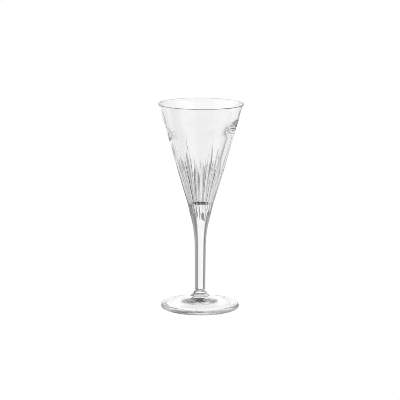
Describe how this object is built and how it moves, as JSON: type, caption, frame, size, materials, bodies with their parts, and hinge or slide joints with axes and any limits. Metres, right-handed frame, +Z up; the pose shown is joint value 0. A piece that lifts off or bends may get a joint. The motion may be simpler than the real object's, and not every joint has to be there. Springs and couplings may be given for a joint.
{
  "type": "schnapps glass",
  "caption": "Stemmed schnapps glass with a thick conical bowl, cut with long and short flutes below a plain upper part, on a solid stem with a flared collar and a round foot.",
  "frame": {"origin": "centre of the foot's underside, on the surface the glass stands on", "axes": "+Z up along the stem, towards the rim; -Y faces the viewer of the picture"},
  "size_m": [0.058, 0.058, 0.14],
  "materials": {
    "bowl_glass": "clear polished glass with polished cuts",
    "stem_glass": "clear polished glass",
    "collar_glass": "clear fire-polished glass",
    "foot_glass": "clear polished glass"
  },
  "bodies": {
    "root": {"bowl": "bowl_glass", "stem": "stem_glass", "collar": "collar_glass", "foot": "foot_glass"}
  },
  "joints": []
}
